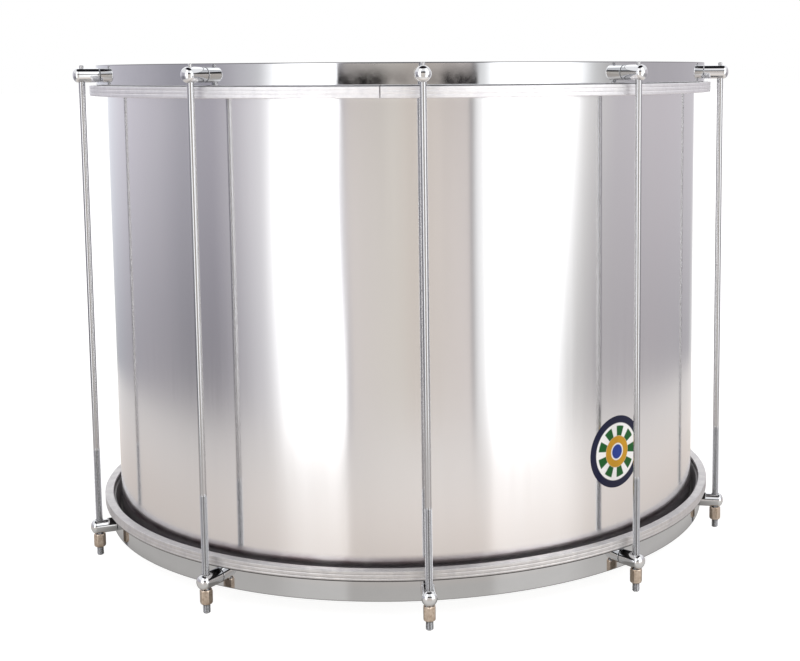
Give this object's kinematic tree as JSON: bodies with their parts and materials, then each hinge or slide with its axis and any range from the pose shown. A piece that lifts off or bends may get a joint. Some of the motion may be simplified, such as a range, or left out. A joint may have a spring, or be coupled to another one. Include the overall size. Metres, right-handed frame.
{
  "type": "surdo drum",
  "caption": "Deep double-headed bass drum: polished metal shell, slit head rims, flat chromed hoops, and long threaded rods whose hexagon nuts draw the hoops together.",
  "frame": {"origin": "on the drum's axis, level with the lower tips of the tension rods that it stands on", "axes": "+Z along the drum's axis, from the nut end up to the fixed end of the rods; the first rod is on -Y"},
  "size_m": [0.5926, 0.6224, 0.4455],
  "materials": {
    "shell": "polished, with faint rolling lines",
    "flesh_hoop": "satin rolled section",
    "counterhoop": "bright chrome on steel",
    "barrel": "bright chrome",
    "rod": "bright zinc on drawn steel",
    "nut": "dull, slightly tarnished",
    "head": "milky polyester film"
  },
  "bodies": {
    "shell_and_heads": {"shell": "shell", "top_head_film": "head", "bottom_head_film": "head"},
    "upper_hoop": {"top_flesh_hoop": "flesh_hoop", "top_counterhoop": "counterhoop", "top_barrel_01": "barrel", "top_barrel_02": "barrel", "top_barrel_03": "barrel", "top_barrel_04": "barrel", "top_barrel_05": "barrel", "top_barrel_06": "barrel", "top_barrel_07": "barrel", "top_barrel_08": "barrel", "top_barrel_09": "barrel", "top_barrel_10": "barrel", "tension_rod_01": "rod", "tension_rod_02": "rod", "tension_rod_03": "rod", "tension_rod_04": "rod", "tension_rod_05": "rod", "tension_rod_06": "rod", "tension_rod_07": "rod", "tension_rod_08": "rod", "tension_rod_09": "rod", "tension_rod_10": "rod"},
    "lower_hoop": {"bottom_flesh_hoop": "flesh_hoop", "bottom_counterhoop": "counterhoop", "bottom_barrel_01": "barrel", "bottom_barrel_02": "barrel", "bottom_barrel_03": "barrel", "bottom_barrel_04": "barrel", "bottom_barrel_05": "barrel", "bottom_barrel_06": "barrel", "bottom_barrel_07": "barrel", "bottom_barrel_08": "barrel", "bottom_barrel_09": "barrel", "bottom_barrel_10": "barrel"},
    "nut_01": {"tuning_nut_01": "nut"},
    "nut_02": {"tuning_nut_02": "nut"},
    "nut_03": {"tuning_nut_03": "nut"},
    "nut_04": {"tuning_nut_04": "nut"},
    "nut_05": {"tuning_nut_05": "nut"},
    "nut_06": {"tuning_nut_06": "nut"},
    "nut_07": {"tuning_nut_07": "nut"},
    "nut_08": {"tuning_nut_08": "nut"},
    "nut_09": {"tuning_nut_09": "nut"},
    "nut_10": {"tuning_nut_10": "nut"}
  },
  "joints": [
    {"name": "upper_hoop_travel", "type": "slide", "parent": "shell_and_heads", "child": "upper_hoop", "axis": [0, 0, 1], "range_m": [-0.0015, 0.0015]},
    {"name": "lower_hoop_travel", "type": "slide", "parent": "shell_and_heads", "child": "lower_hoop", "axis": [0, 0, 1], "range_m": [-0.0015, 0.0015]},
    {"name": "nut_01_turn", "type": "hinge", "parent": "lower_hoop", "child": "nut_01", "pos_m": [0, -0.3036, 0.0142], "axis": [0, 0, 1], "range_deg": [-850.4, 850.4]},
    {"name": "nut_02_turn", "type": "hinge", "parent": "lower_hoop", "child": "nut_02", "pos_m": [0.17845, -0.24562, 0.0142], "axis": [0, 0, 1], "range_deg": [-850.4, 850.4]},
    {"name": "nut_03_turn", "type": "hinge", "parent": "lower_hoop", "child": "nut_03", "pos_m": [0.28874, -0.09382, 0.0142], "axis": [0, 0, 1], "range_deg": [-850.4, 850.4]},
    {"name": "nut_04_turn", "type": "hinge", "parent": "lower_hoop", "child": "nut_04", "pos_m": [0.28874, 0.09382, 0.0142], "axis": [0, 0, 1], "range_deg": [-850.4, 850.4]},
    {"name": "nut_05_turn", "type": "hinge", "parent": "lower_hoop", "child": "nut_05", "pos_m": [0.17845, 0.24562, 0.0142], "axis": [0, 0, 1], "range_deg": [-850.4, 850.4]},
    {"name": "nut_06_turn", "type": "hinge", "parent": "lower_hoop", "child": "nut_06", "pos_m": [0, 0.3036, 0.0142], "axis": [0, 0, 1], "range_deg": [-850.4, 850.4]},
    {"name": "nut_07_turn", "type": "hinge", "parent": "lower_hoop", "child": "nut_07", "pos_m": [-0.17845, 0.24562, 0.0142], "axis": [0, 0, 1], "range_deg": [-850.4, 850.4]},
    {"name": "nut_08_turn", "type": "hinge", "parent": "lower_hoop", "child": "nut_08", "pos_m": [-0.28874, 0.09382, 0.0142], "axis": [0, 0, 1], "range_deg": [-850.4, 850.4]},
    {"name": "nut_09_turn", "type": "hinge", "parent": "lower_hoop", "child": "nut_09", "pos_m": [-0.28874, -0.09382, 0.0142], "axis": [0, 0, 1], "range_deg": [-850.4, 850.4]},
    {"name": "nut_10_turn", "type": "hinge", "parent": "lower_hoop", "child": "nut_10", "pos_m": [-0.17845, -0.24562, 0.0142], "axis": [0, 0, 1], "range_deg": [-850.4, 850.4]}
  ],
  "couplings": [
    {"joint": "lower_hoop_travel", "follows": "upper_hoop_travel", "ratio": -1},
    {"joint": "nut_01_turn", "follows": "upper_hoop_travel", "rad_per_m": -9894.8},
    {"joint": "nut_02_turn", "follows": "upper_hoop_travel", "rad_per_m": -9894.8},
    {"joint": "nut_03_turn", "follows": "upper_hoop_travel", "rad_per_m": -9894.8},
    {"joint": "nut_04_turn", "follows": "upper_hoop_travel", "rad_per_m": -9894.8},
    {"joint": "nut_05_turn", "follows": "upper_hoop_travel", "rad_per_m": -9894.8},
    {"joint": "nut_06_turn", "follows": "upper_hoop_travel", "rad_per_m": -9894.8},
    {"joint": "nut_07_turn", "follows": "upper_hoop_travel", "rad_per_m": -9894.8},
    {"joint": "nut_08_turn", "follows": "upper_hoop_travel", "rad_per_m": -9894.8},
    {"joint": "nut_09_turn", "follows": "upper_hoop_travel", "rad_per_m": -9894.8},
    {"joint": "nut_10_turn", "follows": "upper_hoop_travel", "rad_per_m": -9894.8}
  ]
}
